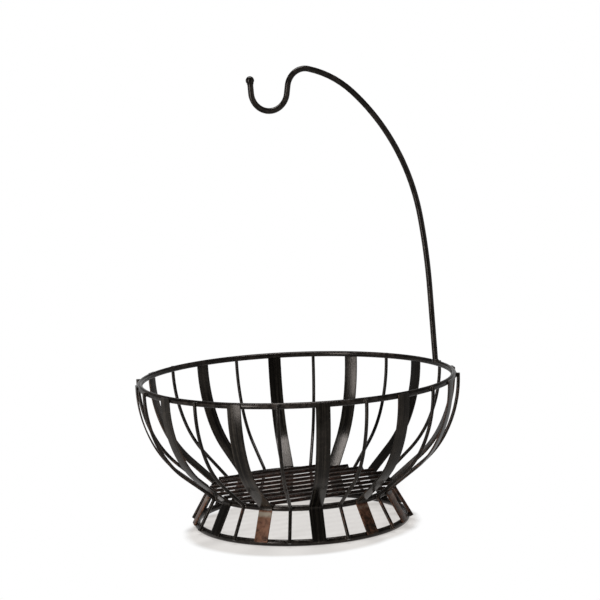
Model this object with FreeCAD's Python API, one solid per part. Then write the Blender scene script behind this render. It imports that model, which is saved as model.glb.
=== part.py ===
import FreeCAD, Part
import math
import os

from FreeCAD import Vector

# A wire fruit bowl on a flared foot, with an arched hanger for a bunch of bananas.
# Three hoops of round rod, the base one heavier, carry 24 ribs, flat straps and round wires
# in turn. Each rib is one piece: down the bowl, round a sharp bend at the waist and out along
# the foot. Nine straight lengths of the same wire, laid on the waist hoop, are the bowl's
# floor. The hanger is a length of the rim's rod, and stands on the rim.
# Frame: origin on the bowl's axis at the floor, +Z up, hanger in the XZ plane, its foot at +X.

# Stock, in millimetres
rod_diameter = 5.4
base_rod_diameter = 6.0
wire_diameter = 3.2
strap_width = 12.7
strap_thickness = 1.4
ball_diameter = 7.8

# Hoops: radius and height of the rod's centre line. The base hoop lies on the floor.
rim_radius = 145.5
rim_height = 135.0
waist_radius = 83.5
waist_height = 31.0
base_radius = 98.0

# Ribs. Above the waist they run straight for a corner this far over it, below the rim's rod,
# and two arcs round that corner. The upper arc starts upright and takes its share of the
# turn, and the lower one is tighter by the ratio. Both belong to the face on the hoops.
rib_pairs = 12
bowl_corner_rise = 49.6
upper_arc_share = 0.544
lower_arc_ratio = 0.734
waist_bend_radius = 2.2
rib_top_rise = 1.8
strap_end_height = 3.8
wire_end_height = 3.4
strap_corner_radius = 1.2
wire_end_chamfer = 0.9

# Floor grid
grid_wires = 9
grid_pitch = 15.6
grid_overhang = 1.2

# Hanger, from the rim up: a leaning post, three ever tighter bends of the arch, the neck
# that turns down into the hook's shank, and the hook, which turns the other way
hanger_lean = 3.0
hanger_post_length = 68.3
rise_radius = 600.0
rise_angle = 6.75
arch_radius = 210.0
arch_angle = 38.4
crown_radius = 98.0
crown_angle = 28.9
neck_radius = 17.5
neck_angle = 94.0
hook_shank_length = 7.5
hook_radius = 17.7
hook_angle = 167.7
hook_tip_length = 11.7
hanger_cope_depth = 1.4

# How far a weld draws one piece into the next
weld_bite = 0.04

rod_radius = rod_diameter / 2
base_rod_radius = base_rod_diameter / 2
wire_radius = wire_diameter / 2
base_height = base_rod_radius
rib_step = 360.0 / (2 * rib_pairs)


def line(a, b):
    return Part.LineSegment(a, b).toShape()


def arc(centre, radius, start, end):
    """Arc in the XZ plane between two directions from its centre, in radians."""
    def at(angle):
        return centre + Vector(math.cos(angle), 0, math.sin(angle)) * radius
    return Part.Arc(at(start), at((start + end) / 2), at(end)).toShape()


def hoop(radius, height, diameter):
    return Part.makeTorus(radius, diameter / 2, Vector(0, 0, height))


def below(angle):
    """Direction in the XZ plane that points this far below +X."""
    return Vector(math.cos(angle), 0, -math.sin(angle))


def bowl_side(thickness):
    """Centres, radii and turns of a rib's two arcs and its waist bend, on its inner face."""
    reach = rod_radius - weld_bite
    bend = waist_bend_radius + thickness
    bend_centre = Vector(waist_radius + reach + bend, 0, waist_height)
    leg_angle = math.atan2(bowl_corner_rise, rim_radius - waist_radius)
    leg_end = bend_centre + Vector(-math.sin(leg_angle), 0, math.cos(leg_angle)) * bend
    side = rim_radius + reach
    corner_drop = rim_height - leg_end.z - (side - leg_end.x) * math.tan(leg_angle)

    # the arcs' tangents meet between them, in a triangle with the corner
    turn = math.pi / 2 - leg_angle
    upper_turn = turn * upper_arc_share
    lower_turn = turn - upper_turn
    upper_tangent = math.tan(upper_turn / 2)
    lower_tangent = lower_arc_ratio * math.tan(lower_turn / 2)
    share = math.sin(lower_turn) / math.sin(turn)
    upper_radius = corner_drop / (upper_tangent + share * (upper_tangent + lower_tangent))
    lower_radius = upper_radius * lower_arc_ratio
    upper_centre = Vector(side - upper_radius, 0, rim_height)
    lower_centre = upper_centre + below(upper_turn) * (upper_radius - lower_radius)
    return upper_centre, upper_radius, upper_turn, lower_centre, lower_radius, turn, bend_centre


def rib_route(offset, thickness, end_height):
    """Edges and ends of a rib's line in the XZ plane, offset outwards from the hoops.

    The line drops from the rim, follows two arcs and a straight leg to the waist, turns
    there beside the hoop, and runs down past the base hoop to the rib's end height.
    """
    (upper_centre, upper_radius, upper_turn, lower_centre, lower_radius, turn,
     bend_centre) = bowl_side(thickness)
    base_reach = base_rod_radius + offset - weld_bite
    bend = waist_bend_radius + thickness - offset
    upper_radius += offset
    lower_radius += offset
    side_start = upper_centre + below(0) * upper_radius
    top = side_start + Vector(0, 0, rib_top_rise)
    leg_start = lower_centre + below(turn) * lower_radius
    leg_end = bend_centre - below(turn) * bend

    # the foot leg passes the waist bend on its inner side and the base hoop on its outer side
    base_centre = Vector(base_radius, 0, base_height)
    span = base_centre - bend_centre
    along = span * (1 / span.Length)
    lean = math.asin((bend + base_reach) / span.Length)
    normal = along * math.sin(lean) + Vector(along.z, 0, -along.x) * math.cos(lean)
    foot_start = bend_centre + normal * bend
    foot_seat = base_centre - normal * base_reach
    foot_heading = (foot_seat - foot_start) * (1 / (foot_seat - foot_start).Length)
    mid_seat_height = base_height - normal.z * (base_rod_radius + thickness / 2 - weld_bite)
    overrun = (mid_seat_height - end_height) / -foot_heading.z
    end = foot_seat + foot_heading * overrun

    bend_from = math.pi - turn
    bend_to = math.atan2(normal.z, normal.x) % (2 * math.pi)
    edges = [
        line(top, side_start),
        arc(upper_centre, upper_radius, 0, -upper_turn),
        arc(lower_centre, lower_radius, -upper_turn, -turn),
        line(leg_start, leg_end),
        arc(bend_centre, bend, bend_from, bend_to),
        line(foot_start, end),
    ]
    return edges, top, end


def strap_rib():
    """A flat strip bent along the rib route, with its corners eased at both ends."""
    inner, inner_top, inner_end = rib_route(0, strap_thickness, strap_end_height)
    outer, outer_top, outer_end = rib_route(strap_thickness, strap_thickness, strap_end_height)
    edges = inner + outer + [line(inner_top, outer_top), line(inner_end, outer_end)]
    section = Part.Face(Part.Wire(Part.__sortEdges__(edges)))
    section.translate(Vector(0, -strap_width / 2, 0))
    strap = section.extrude(Vector(0, strap_width, 0))
    ends = [inner_top, outer_top, inner_end, outer_end]
    corners = [e for e in strap.Edges if abs(e.Length - strap_thickness) < 1e-6
               and any(abs(Vector(p.X, 0, p.Z).distanceToPoint(q)) < 1e-6
                       for p in e.Vertexes for q in ends)]
    return strap.makeFillet(strap_corner_radius, corners)


def wire_rib():
    """A round wire bent along the rib route, its two ends bevelled."""
    edges, top, end = rib_route(wire_radius, wire_diameter, wire_end_height)
    path = Part.Wire(edges)
    section = Part.Wire(Part.makeCircle(wire_radius, top, Vector(0, 0, 1)))
    wire = path.makePipeShell([section], True, False)
    rims = [e for e in wire.Edges if isinstance(e.Curve, Part.Circle)
            and min(e.CenterOfMass.distanceToPoint(p) for p in (top, end)) < 1e-3]
    return wire.makeChamfer(wire_end_chamfer, rims)


def grid_wire(number):
    """One straight floor wire, cut to the grid's round outline, resting on the waist hoop."""
    y = (number - (grid_wires + 1) / 2) * grid_pitch
    half = math.sqrt((waist_radius + grid_overhang) ** 2 - y ** 2)
    height = waist_height + rod_radius + wire_radius - weld_bite
    return Part.makeCylinder(wire_radius, 2 * half, Vector(-half, y, height), Vector(1, 0, 0))


def hanger_route():
    """Edges of the hanger's centre line, from beside the rim's rod up to the ball, and its end."""
    heading = math.radians(hanger_lean)
    upward = Vector(-math.sin(heading), 0, math.cos(heading))
    point = Vector(rim_radius, 0, rim_height) + upward * (rod_radius - hanger_cope_depth)
    bends = [
        (hanger_post_length + hanger_cope_depth, 0),
        (rise_radius, rise_angle),
        (arch_radius, arch_angle),
        (crown_radius, crown_angle),
        (neck_radius, neck_angle),
        (hook_shank_length, 0),
        (hook_radius, -hook_angle),
        (hook_tip_length, 0),
    ]
    edges = []
    for size, turn in bends:
        if turn == 0:
            after = point + Vector(-math.sin(heading), 0, math.cos(heading)) * size
            edges.append(line(point, after))
        else:
            side = math.copysign(1, turn)
            centre = point - Vector(math.cos(heading), 0, math.sin(heading)) * side * size
            first = heading if side > 0 else heading + math.pi
            last = first + math.radians(turn)
            edges.append(arc(centre, size, first, last))
            heading += math.radians(turn)
            after = centre + Vector(math.cos(last), 0, math.sin(last)) * size
        point = after
    return edges, point


def hanger():
    """The bent rod, coped over the rim hoop at its foot and against the ball at its tip."""
    edges, tip = hanger_route()
    ball = Part.makeSphere(ball_diameter / 2, tip)
    heading = edges[0].tangentAt(edges[0].FirstParameter)
    section = Part.Wire(Part.makeCircle(rod_radius, edges[0].Vertexes[0].Point, heading))
    rod = Part.Wire(edges).makePipeShell([section], True, False)
    seat = Part.makeTorus(rim_radius, rod_radius - weld_bite, Vector(0, 0, rim_height))
    rod = rod.cut(seat).cut(ball)
    rod = max(rod.Solids, key=lambda solid: solid.Volume)
    return rod, ball


def write(name, shape):
    shape.exportStep(f"parts/{name}.step")


def turned(shape, angle):
    copy = shape.copy()
    copy.rotate(Vector(0, 0, 0), Vector(0, 0, 1), angle)
    return copy


def main():
    os.makedirs("parts", exist_ok=True)
    write("rim_ring", hoop(rim_radius, rim_height, rod_diameter))
    write("waist_ring", hoop(waist_radius, waist_height, rod_diameter))
    write("base_ring", hoop(base_radius, base_height, base_rod_diameter))

    # wires stand at even steps, so the first is under the hanger, and straps between them
    strap, wire = strap_rib(), wire_rib()
    for pair in range(rib_pairs):
        write(f"wire_{pair + 1:02d}", turned(wire, 2 * pair * rib_step))
        write(f"strap_{pair + 1:02d}", turned(strap, (2 * pair + 1) * rib_step))

    for number in range(1, grid_wires + 1):
        write(f"grid_wire_{number}", grid_wire(number))

    rod, ball = hanger()
    write("hanger_rod", rod)
    write("ball_tip", ball)


main()
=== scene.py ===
import bpy
import math
from mathutils import Matrix, Vector


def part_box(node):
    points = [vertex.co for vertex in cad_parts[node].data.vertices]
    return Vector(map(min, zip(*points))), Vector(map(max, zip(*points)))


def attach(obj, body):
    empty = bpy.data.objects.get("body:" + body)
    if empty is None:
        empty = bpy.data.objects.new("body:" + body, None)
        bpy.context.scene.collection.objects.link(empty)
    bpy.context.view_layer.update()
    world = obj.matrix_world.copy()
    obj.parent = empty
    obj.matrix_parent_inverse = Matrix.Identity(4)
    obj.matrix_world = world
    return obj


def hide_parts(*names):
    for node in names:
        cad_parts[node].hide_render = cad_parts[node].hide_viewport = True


# A welded fruit bowl of rod, wire and strap in a near-black rubbed bronze finish, with an
# arched hanger. Every piece is rebuilt from its CAD node's own sizes, in metres.
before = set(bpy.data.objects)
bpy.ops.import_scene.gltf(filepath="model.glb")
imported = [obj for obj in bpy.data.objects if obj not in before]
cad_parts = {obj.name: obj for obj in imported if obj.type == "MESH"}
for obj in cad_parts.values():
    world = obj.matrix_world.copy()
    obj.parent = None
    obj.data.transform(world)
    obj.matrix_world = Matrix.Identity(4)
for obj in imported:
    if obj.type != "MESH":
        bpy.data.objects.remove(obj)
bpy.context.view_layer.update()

# Camera
# The photograph's view: a long lens from just above the rim, turned a little to the left of
# the hanger's plane, with a slight tilt of the frame. The axis of the bowl is the aim.
camera_distance = 1.8044
camera_height = 0.4318
camera_azimuth = math.radians(23.34)
camera_yaw = math.radians(-0.189)
camera_pitch = math.radians(7.078)
camera_roll = math.radians(2.223)
camera = bpy.data.objects.new("camera", bpy.data.cameras.new("camera"))
camera.data.lens = 118.04
camera.data.sensor_width = 36.0
camera.data.clip_end = 50.0
bpy.context.collection.objects.link(camera)
to_photo = Matrix.Rotation(-camera_azimuth, 4, "Z")
camera.matrix_world = (Matrix.Translation(to_photo @ Vector((0, -camera_distance, camera_height)))
                       @ Matrix.Rotation(camera_yaw - camera_azimuth, 4, "Z")
                       @ Matrix.Rotation(math.pi / 2 - camera_pitch, 4, "X")
                       @ Matrix.Rotation(-camera_roll, 4, "Z"))
bpy.context.scene.camera = camera

# Studio
# A plain pale sheet of paper, which ends a little in front of the bowl, under soft light: a
# lamp overhead, one from the front left, and a dim room. Paper and room are white where the
# camera or a gloss sees them.
bpy.context.scene.view_settings.view_transform = "Standard"
floor_size = 12.0
floor_front = 0.36
floor_mesh = bpy.data.meshes.new("floor")
corners = [to_photo @ Vector(corner) for corner in (
    (-floor_size, -floor_front, 0), (floor_size, -floor_front, 0),
    (floor_size, floor_size, 0), (-floor_size, floor_size, 0))]
floor_mesh.from_pydata([tuple(corner) for corner in corners], [], [(0, 1, 2, 3)])
floor = bpy.data.objects.new("floor", floor_mesh)
bpy.context.collection.objects.link(floor)


def grow(tree, kind, feeds=None, **settings):
    """Add a node, set its options, and feed its sockets with plain values, sockets or nodes."""
    node = tree.nodes.new(kind)
    for name, value in settings.items():
        setattr(node, name, value)
    for key, value in (feeds or {}).items():
        if isinstance(value, bpy.types.Node):
            value = value.outputs[0]
        if isinstance(value, bpy.types.NodeSocket):
            tree.links.new(value, node.inputs[key])
        else:
            node.inputs[key].default_value = value
    return node


def reckon(tree, operation, *values):
    """A maths node on one, two or three values."""
    return grow(tree, "ShaderNodeMath", dict(enumerate(values)), operation=operation)


def soft_ramp(tree, value, low, high, to_low=0.0, to_high=1.0):
    """A value's range stretched to another, with soft ends."""
    return grow(tree, "ShaderNodeMapRange", {"Value": value, "From Min": low, "From Max": high,
                                             "To Min": to_low, "To Max": to_high},
                interpolation_type="SMOOTHSTEP")


def blended(tree, share, first, second, kind="RGBA"):
    """A share of the second colour or value over the first."""
    return grow(tree, "ShaderNodeMix", {"Factor": share, "A": first, "B": second},
                data_type=kind).outputs["Result"]


def blank_material(name):
    """A material with an empty tree and its output node."""
    material = bpy.data.materials.new(name)
    material.use_nodes = True
    tree = material.node_tree
    tree.nodes.clear()
    return material, tree, tree.nodes.new("ShaderNodeOutputMaterial")


# Round the foot and just in front of it the floor is lit paper that takes the shadow, but partly
# under a painted shade of even tone, so that the floor wires throw no stripes on it. Just behind
# the bowl a warm painted shadow darkens it, and further off it turns into the same white as the
# room, so that no horizon shows.
white = (1, 1, 1, 1)
floor_colour = (0.87, 0.86, 0.848, 1)
# the warm painted shadow's colour, for the paper just behind the bowl
painted_shadow_colour = (0.55, 0.505, 0.478, 1)
# the painted shade round and in front of the foot: an even tone, and its share of the paper
painted_shade_colour = (0.755, 0.722, 0.693, 1)
painted_shade_share = 0.6
floor_lift = 0.138
gloss_floor = 0.45
# each zone's middle in the photograph's directions, and how far from there its soft edge
# starts and ends
foot_zone = ((0.004, -0.012, 0.0), 0.098, 0.109)
front_zone = ((-0.008, -0.034, 0.0), 0.093, 0.104)
# where the painted shadow lies, just behind the bowl
painted_shadow_zone = ((0.0, 0.13, 0.0), 0.03, 0.115)

floor_material, tree, output = blank_material("studio_floor")
path = grow(tree, "ShaderNodeLightPath").outputs
seen = reckon(tree, "MAXIMUM", path["Is Camera Ray"], path["Is Glossy Ray"])
seen = reckon(tree, "MAXIMUM", seen, path["Is Transmission Ray"])
spot = grow(tree, "ShaderNodeTexCoord").outputs["Object"]
outside = []
for middle, start, end in (foot_zone, front_zone, painted_shadow_zone):
    away = grow(tree, "ShaderNodeVectorMath", {0: spot, 1: to_photo @ Vector(middle)},
                operation="DISTANCE")
    outside.append(soft_ramp(tree, away.outputs["Value"], start, end))
off_foot, off_front, off_painted_shadow = outside
# the paper's colour, darkened behind the bowl by the painted shadow
tone = blended(tree, off_painted_shadow, painted_shadow_colour, floor_colour)
paper = grow(tree, "ShaderNodeBsdfDiffuse", {"Color": tone})
glow = grow(tree, "ShaderNodeEmission", {"Color": tone,
                                         "Strength": reckon(tree, "MULTIPLY", seen, floor_lift)})
paper = grow(tree, "ShaderNodeAddShader", {0: paper, 1: glow})
# the painted shade: an even tone that stands in for the paper's own shadow there
even = grow(tree, "ShaderNodeEmission", {"Color": painted_shade_colour, "Strength": 1.0})
off_both = reckon(tree, "MINIMUM", off_foot, off_front)
share = grow(tree, "ShaderNodeMapRange", {"Value": off_both, "To Min": painted_shade_share,
                                          "To Max": 0.0})
near = grow(tree, "ShaderNodeMixShader", {0: reckon(tree, "MULTIPLY", share, seen), 1: paper,
                                          2: even})
strength = grow(tree, "ShaderNodeMapRange", {"Value": path["Is Camera Ray"],
                                             "To Min": gloss_floor, "To Max": 1.0})
far = grow(tree, "ShaderNodeEmission", {"Color": white, "Strength": strength})
off_all = reckon(tree, "MINIMUM", off_both, off_painted_shadow)
ground = grow(tree, "ShaderNodeMixShader", {0: reckon(tree, "MULTIPLY", off_all, seen), 1: near,
                                            2: far})
tree.links.new(ground.outputs[0], output.inputs["Surface"])
floor_mesh.materials.append(floor_material)

# the room: white wherever the eye looks, but in a gloss only the backdrop round the bowl is
# white, up to a height, and its gap for the camera and the ceiling are dim
room_light = 0.22
gloss_room = 0.11
gloss_backdrop = 0.65
backdrop_top = 0.1
backdrop_fade = 0.2
gap_edge = (-0.92, -0.7)
world = bpy.data.worlds.new("studio_room")
world.use_nodes = True
bpy.context.scene.world = world
tree = world.node_tree
tree.nodes.clear()
path = grow(tree, "ShaderNodeLightPath").outputs
gaze = grow(tree, "ShaderNodeTexCoord").outputs["Generated"]
ahead_of_camera = (math.sin(camera_azimuth), math.cos(camera_azimuth), 0)
facing = grow(tree, "ShaderNodeVectorMath", {0: gaze, 1: ahead_of_camera},
              operation="DOT_PRODUCT").outputs["Value"]
height = grow(tree, "ShaderNodeSeparateXYZ", {0: gaze}).outputs["Z"]
backdrop = reckon(tree, "MULTIPLY", soft_ramp(tree, facing, *gap_edge),
                  soft_ramp(tree, height, backdrop_top, backdrop_top + backdrop_fade, 1.0, 0.0))
gloss_level = grow(tree, "ShaderNodeMapRange", {"Value": backdrop, "To Min": gloss_room,
                                                "To Max": gloss_backdrop})
glossy = reckon(tree, "MAXIMUM", path["Is Glossy Ray"], path["Is Transmission Ray"])
lit = blended(tree, glossy, room_light, gloss_level, "FLOAT")
shown = blended(tree, path["Is Camera Ray"], lit, 1.0, "FLOAT")
room = grow(tree, "ShaderNodeBackground", {"Color": white, "Strength": shown})
grow(tree, "ShaderNodeOutputWorld", {"Surface": room})


def hang_lamp(name, place, aim, width, height, power):
    """A soft box at a place, facing its aim, in the photograph's own directions."""
    lamp = bpy.data.lights.new(name, "AREA")
    lamp.shape = "RECTANGLE"
    lamp.size = width
    lamp.size_y = height
    lamp.energy = power
    holder = bpy.data.objects.new(name, lamp)
    holder.location = to_photo @ Vector(place)
    gaze = to_photo @ Vector(aim) - holder.location
    holder.rotation_euler = gaze.to_track_quat("-Z", "Y").to_euler()
    bpy.context.collection.objects.link(holder)


hang_lamp("top_box", place=(-0.06, 0.22, 1.55), aim=(-0.06, 0, 0.1), width=0.92, height=0.3,
          power=13.0)
hang_lamp("side_box", place=(-0.98, -1.35, 0.3), aim=(0, 0, 0.12), width=0.4, height=1.5,
          power=20.0)


# Finish
# All the steel is drawn or rolled stock in one rubbed bronze: a near-black satin coat, warm
# and drawn out in lengthwise streaks, and worn to copper brown at edges, foot and floor. On the
# floor wires and some straps part of that wear is a painted sheen and highlight.
def rubbed_bronze_group():
    """Colour, metal, roughness and height from the stock's own section and length."""
    tree = bpy.data.node_groups.new("rubbed_bronze", "ShaderNodeTree")
    for name, kind in (("Section", "Vector"), ("Coat", "Color"), ("Copper", "Color"),
                       ("Pale", "Color"), ("Specks", "Float"), ("Wear", "Float"),
                       ("Bowl Wear", "Float"), ("Foot Wear", "Float"), ("Foot Height", "Float")):
        tree.interface.new_socket(name, in_out="INPUT", socket_type="NodeSocket" + kind)
    for name, kind in (("Colour", "Color"), ("Metal", "Float"), ("Roughness", "Float"),
                       ("Height", "Float")):
        tree.interface.new_socket(name, in_out="OUTPUT", socket_type="NodeSocket" + kind)
    given = grow(tree, "NodeGroupInput").outputs
    place = grow(tree, "ShaderNodeTexCoord").outputs["Object"]

    def noise(vector, scale, detail, roughness=0.5, distortion=0.0):
        """Noise over the piece's place or its stock's length."""
        return grow(tree, "ShaderNodeTexNoise", {"Vector": vector, "Scale": scale,
                                                 "Detail": detail, "Roughness": roughness,
                                                 "Distortion": distortion})

    def drawn_noise(stretch, detail):
        """Noise drawn out along the stock's length."""
        drawn = grow(tree, "ShaderNodeVectorMath", {0: given["Section"], 1: stretch},
                     operation="MULTIPLY")
        return noise(drawn, 1.0, detail, roughness=0.6)

    def spread(value, *ends):
        """A value's range stretched to another, with soft ends."""
        return soft_ramp(tree, value, *ends)

    def product(first, second):
        """Two values multiplied."""
        return reckon(tree, "MULTIPLY", first, second)

    def sum_of(*parts):
        """The sum of some values, each times its share."""
        total = 0.0
        for value, share in reversed(parts):
            total = reckon(tree, "MULTIPLY_ADD", value, share, total)
        return total

    def scaled(colour, factor):
        """A colour made darker or lighter."""
        return grow(tree, "ShaderNodeVectorMath", {0: colour, "Scale": factor}, operation="SCALE")

    # streaks of the drawing and the rubbing, clouds of the coat, mottles of the worn places
    fine_lines = drawn_noise((1400, 1400, 22), 3.0)
    streaks = drawn_noise((520, 520, 9), 2.0)
    clouds = noise(place, 34.0, 4.0, roughness=0.62)
    mottles = noise(place, 230.0, 5.0, roughness=0.65, distortion=0.4)
    grain = noise(place, 2300.0, 2.0)

    # how far the coat is worn: the piece's own wear on bowl and foot, on some straps raised as a
    # painted sheen and highlight, more at the waist's bend, and the strip's edges. The bend and
    # the foot come and go this far below the foot's top.
    bend_comes = (-0.001, 0.003)
    bend_goes = (0.003, 0.010)
    foot_comes = (-0.001, 0.002)
    foot_wanes = (0.014, 0.025)
    foot_left = 0.75
    strip_edge = (0.0056, 0.0063)
    worn_through = (0.68, 0.9)
    high = grow(tree, "ShaderNodeSeparateXYZ", {0: place}).outputs["Z"]
    down = reckon(tree, "SUBTRACT", given["Foot Height"], high)
    at_bend = product(spread(down, *bend_comes), spread(down, *bend_goes, 1.0, 0.0))
    on_foot = product(spread(down, *foot_comes), spread(down, *foot_wanes, 1.0, foot_left))
    # the piece's own wear, on some straps partly a painted sheen on the bowl and a painted
    # highlight on the foot
    own = blended(tree, on_foot, given["Bowl Wear"], given["Foot Wear"], "FLOAT")
    across = grow(tree, "ShaderNodeSeparateXYZ", {0: given["Section"]}).outputs["X"]
    edge = spread(reckon(tree, "ABSOLUTE", across), *strip_edge)
    wear = reckon(tree, "ADD", own, given["Wear"])
    bend_wear_and_highlight = product(wear, at_bend)
    level = sum_of((wear, 0.7), (bend_wear_and_highlight, 0.3), (edge, 0.08), (mottles, 0.5), (streaks, 0.2),
                   (clouds, 0.2))
    worn = spread(level, *worn_through)

    # the coat between dark and light streaks, and paler with the wear, with the painted sheen it
    # carries on some straps; then the worn metal, from brown through copper to a pale at the waist
    # bend that is partly wear and partly a painted highlight
    shade = product(spread(streaks, 0.34, 0.66, 0.3, 1.9), spread(clouds, 0.3, 0.7, 0.65, 1.4))
    shade = product(shade, reckon(tree, "MULTIPLY_ADD", wear, 9.0, 0.5))
    specks = reckon(tree, "MULTIPLY_ADD", spread(mottles, 0.4, 0.64, -0.45, 1.3),
                    given["Specks"], 1.0)
    coat = scaled(given["Coat"], product(shade, specks))
    metal_tone = reckon(tree, "ADD", spread(level, 0.8, 1.1, 0.4, 1.1),
                        spread(mottles, 0.3, 0.7, -0.3, 0.3))
    # the pale at the waist bend: partly wear, partly a painted highlight
    pale = spread(sum_of((mottles, 0.7), (bend_wear_and_highlight, 1.0)), 0.75, 1.25)
    copper = blended(tree, pale, scaled(given["Copper"], metal_tone), given["Pale"])

    rough = sum_of((grain, 0.08), (worn, 0.12), (mottles, 0.12),
                   (spread(fine_lines, 0.3, 0.7, 0.07, 0.17), 1.0))
    height = sum_of((grain, 0.5), (fine_lines, 0.4), (worn, -0.5))
    grow(tree, "NodeGroupOutput", {"Colour": blended(tree, worn, coat, copper),
                                   "Metal": product(worn, 0.3), "Roughness": rough,
                                   "Height": height})
    return tree


rubbed_bronze = rubbed_bronze_group()
# the pale tone at the waist bend, partly wear and partly a painted highlight
pale_copper_and_highlight = (0.26, 0.22, 0.17)
foot_height = 0.03
bump_strength = 0.35
bump_depth = 0.00012


def bronze_material(name, coat, copper, wear, specks):
    """The rubbed bronze with one kind of stock's own tones and wear."""
    material, tree, output = blank_material(name)
    finish = grow(tree, "ShaderNodeGroup", {
        "Coat": (*coat, 1), "Copper": (*copper, 1), "Pale": (*pale_copper_and_highlight, 1), "Wear": wear,
        "Specks": specks, "Foot Height": foot_height}, node_tree=rubbed_bronze)
    for attribute, kind, socket in (("section", "Vector", "Section"),
                                    ("bowl_wear_and_sheen", "Fac", "Bowl Wear"),
                                    ("foot_wear_and_highlight", "Fac", "Foot Wear")):
        read = grow(tree, "ShaderNodeAttribute", attribute_name=attribute)
        tree.links.new(read.outputs[kind], finish.inputs[socket])
    bump = grow(tree, "ShaderNodeBump", {"Strength": bump_strength, "Distance": bump_depth,
                                         "Height": finish.outputs["Height"]})
    surface = grow(tree, "ShaderNodeBsdfPrincipled", {
        "Base Color": finish.outputs["Colour"],
        "Metallic": finish.outputs["Metal"],
        "Roughness": finish.outputs["Roughness"],
        "Normal": bump,
        "Specular IOR Level": 0.23,
        "Specular Tint": (1.0, 0.9, 0.83, 1),
    })
    tree.links.new(surface.outputs[0], output.inputs["Surface"])
    return material


rod_bronze = bronze_material("rod_bronze", coat=(0.0045, 0.0036, 0.003),
                             copper=(0.13, 0.062, 0.042), wear=0.17, specks=1.0)

# Hoops
# Three closed hoops of round rod, rolled and butt welded: the rim, the waist hoop between
# bowl and foot, and the base hoop, of a heavier rod, on which the bowl stands.
rim_low, rim_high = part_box("rim_ring")
waist_low, waist_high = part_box("waist_ring")
base_low, base_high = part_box("base_ring")
rod_diameter = waist_high.z - waist_low.z
rod_radius = rod_diameter / 2
base_rod_diameter = base_high.z - base_low.z
base_rod_radius = base_rod_diameter / 2
rim_radius = rim_high.x - rod_radius
waist_radius = waist_high.x - rod_radius
base_radius = base_high.x - base_rod_radius
rim_height = (rim_low.z + rim_high.z) / 2
waist_height = (waist_low.z + waist_high.z) / 2
base_height = (base_low.z + base_high.z) / 2
hoop_steps = 288
rod_sides = 28
# each piece reads the finish from its own place along a stretch of this length
finish_stretch = 3.7


def new_tree(name, inputs):
    """A Geometry Nodes tree with named inputs, a geometry in and a geometry out."""
    tree = bpy.data.node_groups.new(name, "GeometryNodeTree")
    tree.interface.new_socket("Geometry", in_out="INPUT", socket_type="NodeSocketGeometry")
    for label, kind in inputs.items():
        tree.interface.new_socket(label, in_out="INPUT", socket_type="NodeSocket" + kind)
    tree.interface.new_socket("Geometry", in_out="OUTPUT", socket_type="NodeSocketGeometry")
    return tree, grow(tree, "NodeGroupInput").outputs


def stored(tree, geometry, name, value, kind="FLOAT", domain="POINT"):
    """The geometry with a value kept on it under a name."""
    return grow(tree, "GeometryNodeStoreNamedAttribute",
                {"Geometry": geometry, "Name": name, "Value": value}, data_type=kind,
                domain=domain)


def kept_value(tree, name, kind="FLOAT"):
    """What is kept on the geometry under a name."""
    return grow(tree, "GeometryNodeInputNamedAttribute", {"Name": name}, data_type=kind)


def with_section(tree, geometry):
    """The geometry with its own place kept as its place in the stock's section."""
    spot = grow(tree, "GeometryNodeInputPosition")
    return stored(tree, geometry, "section", spot, kind="FLOAT_VECTOR")


def round_outline(tree, diameter, sides):
    """The outline of round stock."""
    return grow(tree, "GeometryNodeCurvePrimitiveCircle", {
        "Resolution": sides, "Radius": reckon(tree, "MULTIPLY", diameter, 0.5)})


def swept(tree, route, outline):
    """Sweep an outline along a route, and keep each point's place in the section and length."""
    length = grow(tree, "GeometryNodeSplineParameter").outputs["Length"]
    return grow(tree, "GeometryNodeCurveToMesh", {
        "Curve": stored(tree, route, "along", length),
        "Profile Curve": with_section(tree, outline), "Fill Caps": True})


def closed(tree, geometry, material):
    """Fold the length into the section attribute, then realize, shade smooth and paint."""
    real = grow(tree, "GeometryNodeRealizeInstances", {"Geometry": geometry})
    length = reckon(tree, "MULTIPLY_ADD", kept_value(tree, "piece"), finish_stretch,
                    kept_value(tree, "along"))
    whole = grow(tree, "ShaderNodeVectorMath", {
        0: kept_value(tree, "section", "FLOAT_VECTOR"),
        1: grow(tree, "ShaderNodeCombineXYZ", {"Z": length})}, operation="ADD")
    marked = stored(tree, real, "section", whole, kind="FLOAT_VECTOR")
    smooth = grow(tree, "GeometryNodeSetShadeSmooth", {"Geometry": marked, "Shade Smooth": True})
    painted = grow(tree, "GeometryNodeSetMaterial", {"Geometry": smooth, "Material": material})
    grow(tree, "NodeGroupOutput", {"Geometry": painted})


def settled(name, tree, values, start, nodes):
    """Run a tree on its start mesh, keep the result as a plain piece, and hand it to the frame."""
    host = bpy.data.objects.new(name + "_start", start)
    bpy.context.collection.objects.link(host)
    modifier = host.modifiers.new("tree", "NODES")
    modifier.node_group = tree
    for label, value in values.items():
        modifier[tree.interface.items_tree[label].identifier] = value
    graph = bpy.context.evaluated_depsgraph_get()
    mesh = bpy.data.meshes.new_from_object(host.evaluated_get(graph), depsgraph=graph)
    mesh.name = name
    host.modifiers.clear()
    bpy.data.objects.remove(host)
    piece = bpy.data.objects.new(name, mesh)
    bpy.context.collection.objects.link(piece)
    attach(piece, "root")
    if nodes:
        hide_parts(*nodes)


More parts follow.
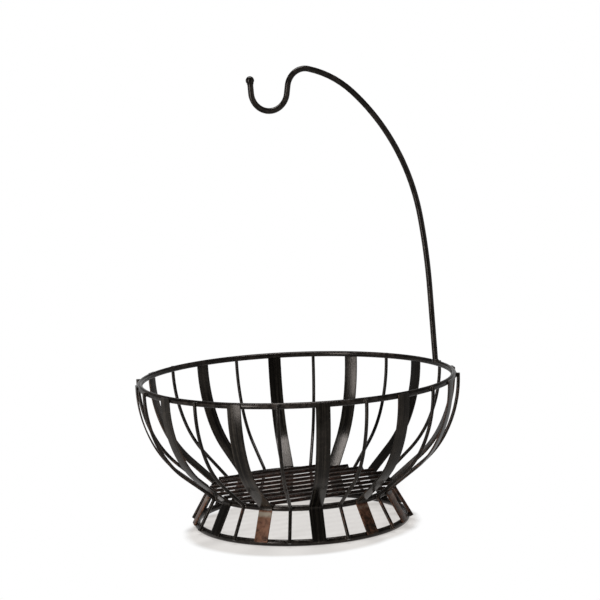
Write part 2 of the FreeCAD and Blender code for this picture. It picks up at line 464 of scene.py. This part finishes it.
hoop_tree, given = new_tree("closed_hoop", {"Hoop Radius": "Float", "Hoop Height": "Float",
                                            "Rod Diameter": "Float", "Material": "Material"})
ring = grow(hoop_tree, "GeometryNodeCurvePrimitiveCircle", {"Resolution": hoop_steps,
                                                            "Radius": given["Hoop Radius"]})
upward = grow(hoop_tree, "ShaderNodeCombineXYZ", {"Z": given["Hoop Height"]})
raised = grow(hoop_tree, "GeometryNodeTransform", {"Geometry": ring, "Translation": upward})
rod_outline = round_outline(hoop_tree, given["Rod Diameter"], rod_sides)
closed(hoop_tree, swept(hoop_tree, raised, rod_outline), given["Material"])

for name, node, radius, height, rod in (
        ("rim_hoop", "rim_ring", rim_radius, rim_height, rod_diameter),
        ("waist_hoop", "waist_ring", waist_radius, waist_height, rod_diameter),
        ("base_hoop", "base_ring", base_radius, base_height, base_rod_diameter)):
    settled(name, hoop_tree, {"Hoop Radius": radius, "Hoop Height": height,
                              "Rod Diameter": rod, "Material": rod_bronze},
            bpy.data.meshes.new(name + "_start"), [node])

# Straps
# Twelve ribs of rolled half-inch strip, each bent cold in one length: down the bowl's side,
# round a sharp bend at the waist and out along the foot, and spot welded to the three hoops.
strap_width = 0.0127
strap_thickness = 0.0014
strap_edge_round = 0.0004
strap_corner_radius = 0.0012
weld_bite = 0.00004
rib_pairs = 12
rib_step = math.pi / rib_pairs
rib_top_rise = 0.0018
strap_end_height = 0.0038
bowl_corner_rise = 0.0496
upper_arc_share = 0.544
lower_arc_ratio = 0.734
waist_bend_radius = 0.0022
upper_arc_steps = 28
lower_arc_steps = 24
waist_bend_steps = 14
edge_round_steps = 4


def line_mesh(name, points):
    """A route as a mesh of edges, one point after another."""
    mesh = bpy.data.meshes.new(name)
    mesh.from_pydata([tuple(p) for p in points], [(i, i + 1) for i in range(len(points) - 1)], [])
    return mesh


def toward(angle):
    """The direction in the XZ plane at an angle from +X, upwards."""
    return Vector((math.cos(angle), 0, math.sin(angle)))


def swing(centre, radius, start, end, steps):
    """Points on an arc in the XZ plane, between two angles from +X, without its first point."""
    return [centre + toward(start + (end - start) * i / steps) * radius
            for i in range(1, steps + 1)]


def rib_route(thickness, end_height, end_steps):
    """Centre line of a rib in the XZ plane, its seat on the base hoop and the way out of it."""
    middle = thickness / 2
    reach = rod_radius - weld_bite
    bend = waist_bend_radius + thickness
    bend_centre = Vector((waist_radius + reach + bend, 0, waist_height))
    leg_angle = math.atan2(bowl_corner_rise, rim_radius - waist_radius)
    turn = math.pi / 2 - leg_angle
    leg_end = bend_centre - toward(-turn) * bend
    side = rim_radius + reach
    corner_drop = rim_height - leg_end.z - (side - leg_end.x) * math.tan(leg_angle)

    # two arcs round the corner, the lower one tighter
    upper_turn = turn * upper_arc_share
    lower_turn = turn - upper_turn
    upper_tangent = math.tan(upper_turn / 2)
    lower_tangent = lower_arc_ratio * math.tan(lower_turn / 2)
    share = math.sin(lower_turn) / math.sin(turn)
    upper_radius = corner_drop / (upper_tangent + share * (upper_tangent + lower_tangent))
    lower_radius = upper_radius * lower_arc_ratio
    upper_centre = Vector((side - upper_radius, 0, rim_height))
    lower_centre = upper_centre + toward(-upper_turn) * (upper_radius - lower_radius)

    # the foot leg runs from the waist bend to the base hoop's outer side
    base_centre = Vector((base_radius, 0, base_height))
    base_reach = base_rod_radius - weld_bite
    span = base_centre - bend_centre
    along = span.normalized()
    lean = math.asin((bend + base_reach) / span.length)
    normal = along * math.sin(lean) + Vector((along.z, 0, -along.x)) * math.cos(lean)
    foot_start = bend_centre + normal * (bend - middle)
    foot_seat = base_centre - normal * (base_reach + middle)
    foot_heading = (foot_seat - foot_start).normalized()
    foot_end = foot_seat + foot_heading * ((foot_seat.z - end_height) / -foot_heading.z)

    top = Vector((side + middle, 0, rim_height + rib_top_rise))
    points = [top - Vector((0, 0, step)) for step in end_steps]
    points.append(Vector((side + middle, 0, rim_height)))
    points += swing(upper_centre, upper_radius + middle, 0, -upper_turn, upper_arc_steps)
    points += swing(lower_centre, lower_radius + middle, -upper_turn, -turn, lower_arc_steps)
    points.append(bend_centre - toward(-turn) * (bend - middle))
    bend_to = math.atan2(normal.z, normal.x) % (2 * math.pi)
    points += swing(bend_centre, bend - middle, math.pi - turn, bend_to, waist_bend_steps)
    points += [foot_end - foot_heading * step for step in reversed(end_steps)]
    return points, base_centre - normal * base_rod_radius, -normal


def upright_route(tree, geometry):
    """A route mesh as a curve whose sections stand square to the XZ plane."""
    curve = grow(tree, "GeometryNodeMeshToCurve", {"Mesh": geometry})
    return grow(tree, "GeometryNodeSetCurveNormal", {"Curve": curve, "Normal": (0, 1, 0)},
                mode="FREE")


def end_loss(tree, along, whole, radius):
    """How far a rounded end draws the stock in, at a distance along its whole length."""
    from_end = reckon(tree, "MINIMUM", along, reckon(tree, "SUBTRACT", whole, along))
    into = reckon(tree, "MAXIMUM", reckon(tree, "SUBTRACT", radius, from_end), 0.0)
    rest = reckon(tree, "SUBTRACT", reckon(tree, "MULTIPLY", radius, radius),
                  reckon(tree, "MULTIPLY", into, into))
    return reckon(tree, "SUBTRACT", radius, reckon(tree, "SQRT", rest))


def numbered(tree, copies, seed):
    """The copies with a number each, by which each reads its own stretch of the finish."""
    number = grow(tree, "FunctionNodeRandomValue", {"Seed": seed}, data_type="FLOAT")
    return stored(tree, copies, "piece", number.outputs["Value"], domain="INSTANCE")


def ringed(tree, rib, given, bowl_wear_and_sheen, foot_wear_and_highlight):
    """Copy a rib round the bowl's axis, each with its own number, and its wear, on the straps
    partly a painted sheen and highlight, for the finish.
    """
    points = grow(tree, "GeometryNodePoints", {"Count": given["Count"]})
    index = grow(tree, "GeometryNodeInputIndex").outputs[0]
    step = reckon(tree, "DIVIDE", 2 * math.pi, given["Count"])
    angle = reckon(tree, "MULTIPLY_ADD", index, step, given["First Angle"])
    turn = grow(tree, "ShaderNodeCombineXYZ", {"Z": angle})
    copies = grow(tree, "GeometryNodeInstanceOnPoints", {"Points": points, "Instance": rib,
                                                         "Rotation": turn})
    for name, values in (("bowl_wear_and_sheen", bowl_wear_and_sheen), ("foot_wear_and_highlight", foot_wear_and_highlight)):
        pick = grow(tree, "GeometryNodeIndexSwitch", {"Index": index}, data_type="FLOAT")
        while len(pick.index_switch_items) < len(values):
            pick.index_switch_items.new()
        for place, value in enumerate(values):
            pick.inputs[place + 1].default_value = value
        copies = stored(tree, copies, name, pick, domain="INSTANCE")
    closed(tree, numbered(tree, copies, seed=11), given["Material"])


strap_bronze = bronze_material("strap_bronze", coat=(0.005, 0.0042, 0.0033),
                               copper=(0.14, 0.066, 0.04), wear=0.0, specks=0.25)

strap_tree, given = new_tree("strap_ribs", {
    "Width": "Float", "Thickness": "Float", "Edge Round": "Float", "Corner Radius": "Float",
    "Count": "Int", "First Angle": "Float", "Material": "Material"})
strip = grow(strap_tree, "GeometryNodeCurvePrimitiveQuadrilateral",
             {"Width": given["Width"], "Height": given["Thickness"]}, mode="RECTANGLE")
strip_outline = grow(strap_tree, "GeometryNodeFilletCurve",
                     {"Curve": strip, "Count": edge_round_steps, "Radius": given["Edge Round"]},
                     mode="POLY")
strap_body = swept(strap_tree, upright_route(strap_tree, given["Geometry"]), strip_outline)

# the corners of both ends are rounded by drawing the section's ends in
along = kept_value(strap_tree, "along")
longest = grow(strap_tree, "GeometryNodeAttributeStatistic",
               {"Geometry": strap_body, "Attribute": along}, data_type="FLOAT", domain="POINT")
narrow = end_loss(strap_tree, along, longest.outputs["Max"], given["Corner Radius"])
half_width = reckon(strap_tree, "MULTIPLY", given["Width"], 0.5)
allowed = reckon(strap_tree, "SUBTRACT", half_width, narrow)
spot = grow(strap_tree, "GeometryNodeInputPosition")
parts = grow(strap_tree, "ShaderNodeSeparateXYZ", {0: spot}).outputs
held = grow(strap_tree, "ShaderNodeClamp", {
    "Value": parts["Y"], "Min": reckon(strap_tree, "MULTIPLY", allowed, -1.0), "Max": allowed})
moved = grow(strap_tree, "ShaderNodeCombineXYZ", {"X": parts["X"], "Y": held, "Z": parts["Z"]})
strap_cut = grow(strap_tree, "GeometryNodeSetPosition", {"Geometry": strap_body,
                                                         "Position": moved})
# the coat is worn most on the foot, and on no two straps alike; on some straps the value is
# raised further as a painted sheen on the bowl and a painted highlight on the foot
strap_bowl_wear_and_sheen = (0.02, 0.1, 0.1, 0.22, 0.3, 0.3, 0.22, 0.24, 0.14, 0.26, 0.32, 0.34)
strap_foot_wear_and_highlight = (0.3, 0.45, 0.3, 0.5, 0.35, 0.7, 0.04, 0.88, 0.1, 0.6, 0.56, 0.5)
ringed(strap_tree, strap_cut, given, strap_bowl_wear_and_sheen, strap_foot_wear_and_highlight)

strap_end_steps = [strap_corner_radius * s for s in (0, 0.04, 0.15, 0.32, 0.55, 0.8, 1.0)]
strap_line, strap_seat, strap_seat_out = rib_route(strap_thickness, strap_end_height,
                                                   strap_end_steps)
settled("strap_ribs", strap_tree,
        {"Width": strap_width, "Thickness": strap_thickness, "Edge Round": strap_edge_round,
         "Corner Radius": strap_corner_radius, "Count": rib_pairs, "First Angle": rib_step,
         "Material": strap_bronze},
        line_mesh("strap_route", strap_line),
        [f"strap_{n + 1:02d}" for n in range(rib_pairs)])

# Wires
# Twelve round wires of the same route between the straps, cut square with eased ends, spot
# welded to the outside of the hoops.
wire_low, wire_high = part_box("wire_01")
wire_diameter = wire_high.y - wire_low.y
wire_end_round = 0.0009
wire_end_height = 0.0034
wire_sides = 20
wire_bronze = bronze_material("wire_bronze", coat=(0.0031, 0.0025, 0.002),
                              copper=(0.14, 0.066, 0.042), wear=0.0, specks=0.8)


def eased_ends(tree, route, given):
    """Thin a route's radius to a rounded edge over its last bit at both ends."""
    along = grow(tree, "GeometryNodeSplineParameter").outputs["Length"]
    whole = grow(tree, "GeometryNodeSplineLength").outputs["Length"]
    loss = end_loss(tree, along, whole, given["End Round"])
    half = reckon(tree, "MULTIPLY", given["Diameter"], 0.5)
    radius = reckon(tree, "SUBTRACT", 1.0, reckon(tree, "DIVIDE", loss, half))
    return grow(tree, "GeometryNodeSetCurveRadius", {"Curve": route, "Radius": radius})


wire_tree, given = new_tree("wire_ribs", {
    "Diameter": "Float", "End Round": "Float", "Count": "Int", "First Angle": "Float",
    "Material": "Material"})
wire_route = eased_ends(wire_tree, upright_route(wire_tree, given["Geometry"]), given)
wire_outline = round_outline(wire_tree, given["Diameter"], wire_sides)
wire_bowl_wear = (0.3, 0.1, 0.2, 0.12, 0.2, 0.32, 0.34, 0.25, 0.2, 0.2, 0.34, 0.38)
wire_foot_wear = (0.4, 0.3, 0.45, 0.3, 0.4, 0.35, 0.2, 0.34, 0.24, 0.32, 0.45, 0.5)
ringed(wire_tree, swept(wire_tree, wire_route, wire_outline), given, wire_bowl_wear,
       wire_foot_wear)

wire_end_steps = [wire_end_round * s for s in (0, 0.06, 0.2, 0.45, 0.7, 1.0)]
wire_line, wire_seat, wire_seat_out = rib_route(wire_diameter, wire_end_height, wire_end_steps)
settled("wire_ribs", wire_tree,
        {"Diameter": wire_diameter, "End Round": wire_end_round, "Count": rib_pairs,
         "First Angle": 0.0, "Material": wire_bronze},
        line_mesh("wire_route", wire_line),
        [f"wire_{n + 1:02d}" for n in range(rib_pairs)])

# Floor
# Nine straight wires lie side by side on the waist hoop, cut to the hoop's round outline,
# and are welded to it at both ends. They carry the fruit.
floor_low, floor_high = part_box("grid_wire_1")
grid_wires = 9
grid_diameter = floor_high.y - floor_low.y
grid_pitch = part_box("grid_wire_2")[0].y - floor_low.y
grid_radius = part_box("grid_wire_5")[1].x
grid_height = (floor_low.z + floor_high.z) / 2
# the floor wires' copper brown is partly wear and partly a painted warm sheen where light falls on
# them
grid_bronze = bronze_material("floor_wire_bronze", coat=(0.0026, 0.0014, 0.001),
                              copper=(0.11, 0.05, 0.036), wear=0.34, specks=0.6)

grid_tree, given = new_tree("floor_wires", {
    "Diameter": "Float", "End Round": "Float", "Pitch": "Float", "Reach": "Float",
    "Height": "Float", "Count": "Int", "Material": "Material"})
# one straight route along X is copied at each pitch
rows = grow(grid_tree, "GeometryNodePoints", {"Count": given["Count"]})
row = grow(grid_tree, "GeometryNodeInputIndex")
middle_row = reckon(grid_tree, "MULTIPLY", reckon(grid_tree, "SUBTRACT", given["Count"], 1.0), 0.5)
offset = reckon(grid_tree, "MULTIPLY", reckon(grid_tree, "SUBTRACT", row, middle_row),
                given["Pitch"])
row_place = grow(grid_tree, "ShaderNodeCombineXYZ", {"Y": offset, "Z": given["Height"]})
placed = grow(grid_tree, "GeometryNodeSetPosition", {"Geometry": rows, "Position": row_place})
straight = grow(grid_tree, "GeometryNodeMeshToCurve", {"Mesh": given["Geometry"]})
copies = grow(grid_tree, "GeometryNodeInstanceOnPoints", {"Points": placed,
                                                          "Instance": straight})
real_rows = grow(grid_tree, "GeometryNodeRealizeInstances",
                 {"Geometry": numbered(grid_tree, copies, seed=23)})

# and each copy's ends are drawn in to the round outline
spot = grow(grid_tree, "GeometryNodeInputPosition")
parts = grow(grid_tree, "ShaderNodeSeparateXYZ", {0: spot}).outputs
reach_square = reckon(grid_tree, "MULTIPLY", given["Reach"], given["Reach"])
y_square = reckon(grid_tree, "MULTIPLY", parts["Y"], parts["Y"])
chord = reckon(grid_tree, "SQRT", reckon(grid_tree, "SUBTRACT", reach_square, y_square))
shift = reckon(grid_tree, "SUBTRACT", given["Reach"], chord)
side = reckon(grid_tree, "SIGN", parts["X"])
inward = reckon(grid_tree, "SUBTRACT", parts["X"], reckon(grid_tree, "MULTIPLY", side, shift))
fitted = grow(grid_tree, "ShaderNodeCombineXYZ", {"X": inward, "Y": parts["Y"],
                                                  "Z": parts["Z"]})
rows_fitted = grow(grid_tree, "GeometryNodeSetPosition", {"Geometry": real_rows,
                                                          "Position": fitted})
grid_outline = round_outline(grid_tree, given["Diameter"], wire_sides)
closed(grid_tree, swept(grid_tree, eased_ends(grid_tree, rows_fitted, given), grid_outline),
       given["Material"])

grid_line = [Vector((-grid_radius + step, 0, 0)) for step in wire_end_steps]
grid_line += [Vector((grid_radius - step, 0, 0)) for step in reversed(wire_end_steps)]
settled("floor_wires", grid_tree,
        {"Diameter": grid_diameter, "End Round": wire_end_round, "Pitch": grid_pitch,
         "Reach": grid_radius, "Height": grid_height, "Count": grid_wires,
         "Material": grid_bronze},
        line_mesh("floor_wire_route", grid_line),
        [f"grid_wire_{n + 1}" for n in range(grid_wires)])

# Hanger
# One length of the hoops' rod, bent in one plane: a leaning post that arches over the bowl
# in ever tighter bends, turns down at the neck and ends in a hook for a bunch of bananas.
hanger_lean = math.radians(3.0)
hanger_cope_depth = 0.0014
# each straight's length, or each bend's radius and turn
hanger_bends = (
    (0.0683 + hanger_cope_depth, 0),
    (0.6, math.radians(6.75)),
    (0.21, math.radians(38.4)),
    (0.098, math.radians(28.9)),
    (0.0175, math.radians(94.0)),
    (0.0075, 0),
    (0.0177, -math.radians(167.7)),
    (0.0117, 0),
)
straight_step = 0.004
bend_step = math.radians(2.0)
least_bend_steps = 4
wide_bend = 0.1
hanger_sides = 32


def onward(heading):
    """The direction in the XZ plane at an angle from straight up, towards -X."""
    return Vector((-math.sin(heading), 0, math.cos(heading)))


heading = hanger_lean
point = Vector((rim_radius, 0, rim_height)) + onward(heading) * (rod_radius - hanger_cope_depth)
hanger_line = [point]
for size, turn in hanger_bends:
    if turn == 0:
        steps = max(1, round(size / straight_step))
        hanger_line += [point + onward(heading) * size * i / steps for i in range(1, steps + 1)]
    else:
        side = math.copysign(1, turn)
        centre = point - toward(heading) * side * size
        first = heading if side > 0 else heading + math.pi
        finer = max(1, size / wide_bend)
        steps = max(least_bend_steps, round(abs(turn) * finer / bend_step / 2))
        hanger_line += swing(centre, size, first, first + turn, steps)
        heading += turn
    point = hanger_line[-1]

hanger_tree, given = new_tree("bent_rod", {"Diameter": "Float", "Material": "Material"})
hanger_outline = round_outline(hanger_tree, given["Diameter"], hanger_sides)
closed(hanger_tree, swept(hanger_tree, upright_route(hanger_tree, given["Geometry"]),
                          hanger_outline), given["Material"])
settled("hanger_rod_bent", hanger_tree, {"Diameter": rod_diameter, "Material": rod_bronze},
        line_mesh("hanger_route", hanger_line), ["hanger_rod"])

# Ball
# A small ball welded on the hook's tip keeps the bananas from sliding off and the fingers
# from the rod's cut end.
ball_low, ball_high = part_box("ball_tip")
ball_centre = (ball_low + ball_high) / 2
ball_radius = (ball_high.y - ball_low.y) / 2
ball_fineness = 5
ball_tree, given = new_tree("ball", {"Radius": "Float", "Centre": "Vector",
                                     "Material": "Material"})
globe = grow(ball_tree, "GeometryNodeMeshIcoSphere", {"Radius": given["Radius"],
                                                      "Subdivisions": ball_fineness})
hung = grow(ball_tree, "GeometryNodeTransform", {"Geometry": with_section(ball_tree, globe),
                                                 "Translation": given["Centre"]})
closed(ball_tree, hung, given["Material"])
settled("hook_ball", ball_tree, {"Radius": ball_radius, "Centre": ball_centre,
                                 "Material": rod_bronze},
        bpy.data.meshes.new("ball_start"), ["ball_tip"])

# Welds
# Every crossing is spot welded, which squeezes a little steel out round the joint. The
# hanger's foot and the ball's neck have a run of weld all round them.
weld_bronze = bronze_material("weld_bronze", coat=(0.012, 0.01, 0.0085),
                              copper=(0.2, 0.1, 0.07), wear=0.12, specks=0.6)
wire_weld = (0.0012, 0.0027, 0.0022)
strap_weld = (0.0008, 0.0061, 0.0018)
floor_weld = (0.0026, 0.0026, 0.0011)
foot_weld = (0.0034, 0.0048, 0.0029)
neck_weld = (0.0032, 0.0032, 0.0014)
# how far up the rim's rod and down the ball these two sit, as shares of the radius
foot_weld_place = 0.55
neck_weld_place = 0.8
bead_fineness = 3
unevenness = 0.0012
lump_scale = 420.0

# each joint's place, half sizes and turns
joints = []
for number in range(2 * rib_pairs):
    angle = number * rib_step
    size, seat, out = wire_weld, wire_seat, wire_seat_out
    if number % 2:
        size, seat, out = strap_weld, strap_seat, strap_seat_out
    for place, lean in ((Vector((rim_radius + rod_radius, 0, rim_height)), 0.0),
                        (Vector((waist_radius + rod_radius, 0, waist_height)), 0.0),
                        (seat, -math.atan2(out.z, out.x))):
        joints.append((Matrix.Rotation(angle, 4, "Z") @ place, size, (0, lean, angle)))
for number in range(grid_wires):
    y = (number - (grid_wires - 1) / 2) * grid_pitch
    x = math.sqrt(waist_radius ** 2 - y ** 2)
    joints += [(Vector((side * x, y, waist_height + rod_radius)), floor_weld, (0, 0, 0))
               for side in (-1, 1)]
joints.append((Vector((rim_radius, 0, rim_height + foot_weld_place * rod_radius)), foot_weld,
               (0, 0, 0)))
joints.append((ball_centre - onward(heading) * neck_weld_place * ball_radius, neck_weld,
               (0, -heading, 0)))

joint_mesh = bpy.data.meshes.new("joints")
joint_mesh.from_pydata([tuple(place) for place, size, turn in joints], [], [])
for label, part in (("bead_size", 1), ("bead_turn", 2)):
    kept = joint_mesh.attributes.new(label, "FLOAT_VECTOR", "POINT")
    kept.data.foreach_set("vector", [value for joint in joints for value in joint[part]])

weld_tree, given = new_tree("weld_beads", {"Unevenness": "Float", "Material": "Material"})
spots = grow(weld_tree, "GeometryNodeMeshToPoints", {"Mesh": given["Geometry"]})
bead = grow(weld_tree, "GeometryNodeMeshIcoSphere", {"Radius": 1.0,
                                                     "Subdivisions": bead_fineness})
beads = grow(weld_tree, "GeometryNodeInstanceOnPoints", {
    "Points": spots, "Instance": bead,
    "Rotation": kept_value(weld_tree, "bead_turn", "FLOAT_VECTOR"),
    "Scale": kept_value(weld_tree, "bead_size", "FLOAT_VECTOR")})
real_beads = grow(weld_tree, "GeometryNodeRealizeInstances", {"Geometry": beads})
lumps = grow(weld_tree, "ShaderNodeTexNoise", {
    "Vector": grow(weld_tree, "GeometryNodeInputPosition"), "Scale": lump_scale, "Detail": 2.0})
lump = reckon(weld_tree, "SUBTRACT", lumps.outputs["Fac"], 0.5)
push = grow(weld_tree, "ShaderNodeVectorMath", {
    0: grow(weld_tree, "GeometryNodeInputNormal"),
    "Scale": reckon(weld_tree, "MULTIPLY", lump, given["Unevenness"])}, operation="SCALE")
uneven = grow(weld_tree, "GeometryNodeSetPosition", {"Geometry": real_beads, "Offset": push})
closed(weld_tree, with_section(weld_tree, uneven), given["Material"])
settled("weld_beads", weld_tree, {"Unevenness": unevenness, "Material": weld_bronze}, joint_mesh,
        [])
